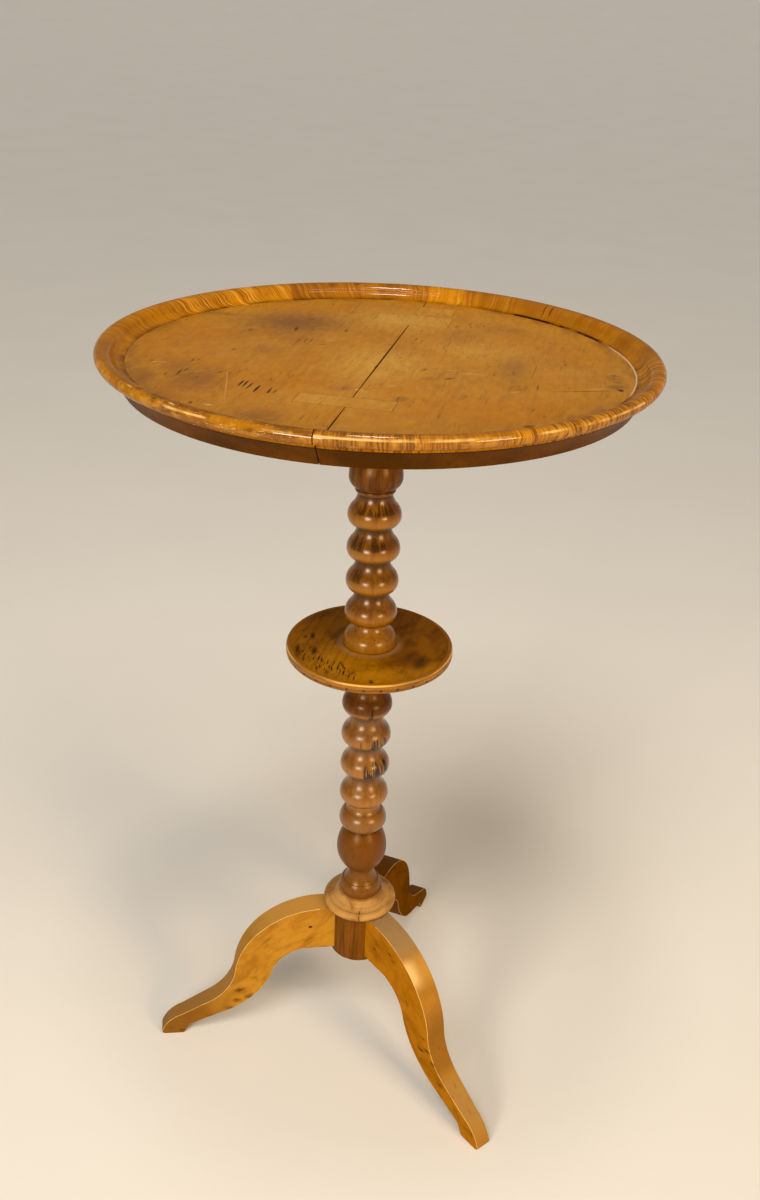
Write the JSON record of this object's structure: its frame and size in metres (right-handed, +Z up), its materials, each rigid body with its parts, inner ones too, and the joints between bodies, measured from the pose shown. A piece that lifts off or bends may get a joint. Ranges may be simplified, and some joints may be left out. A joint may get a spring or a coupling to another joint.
{
  "type": "wine table",
  "caption": "Tall slim tripod table with a dished round top on a bobbin-turned column, a small round shelf part way up and sawn cyma legs.",
  "frame": {"origin": "on the floor, on the column's axis", "axes": "+Z up along the column, -X along one leg, with the other legs at 60 degrees either side of +X"},
  "size_m": [0.454, 0.454, 0.75],
  "materials": {
    "field_veneer": "satin worn varnish",
    "rim_wood": "glossy varnish",
    "column_wood": "glossy varnish",
    "shelf_wood": "glossy varnish",
    "leg_wood": "satin varnish",
    "collar_wood": "satin varnish",
    "hub_wood": "satin varnish",
    "bare_wood": "bare",
    "iron": "dull"
  },
  "bodies": {
    "root": {"hub": "hub_wood", "leg_left": "leg_wood", "leg_front": "leg_wood", "leg_back": "leg_wood", "collar_ring": "collar_wood", "lower_column": "column_wood", "shelf_disc": "shelf_wood", "shelf_edge_band": "shelf_wood", "shelf_edge_pins": "iron", "upper_column": "column_wood", "spigot_wedge": "bare_wood", "block_screws": "iron", "mounting_block": "bare_wood", "core_board_left": "bare_wood", "core_board_right": "bare_wood", "field_leaf_left_edge": "field_veneer", "field_leaf_left": "field_veneer", "field_leaf_right": "field_veneer", "field_leaf_right_back": "field_veneer", "field_leaf_right_front": "field_veneer", "front_key": "field_veneer", "back_key": "field_veneer", "back_strip": "field_veneer", "rim_right_1": "rim_wood", "rim_right_2": "rim_wood", "rim_right_3": "rim_wood", "rim_right_4": "rim_wood", "rim_right_5": "rim_wood", "rim_short_piece": "rim_wood", "rim_left_1": "rim_wood", "rim_left_2": "rim_wood", "rim_left_3": "rim_wood", "rim_left_4": "rim_wood", "rim_left_5": "rim_wood", "fascia_right": "rim_wood", "fascia_left": "rim_wood"}
  },
  "joints": []
}
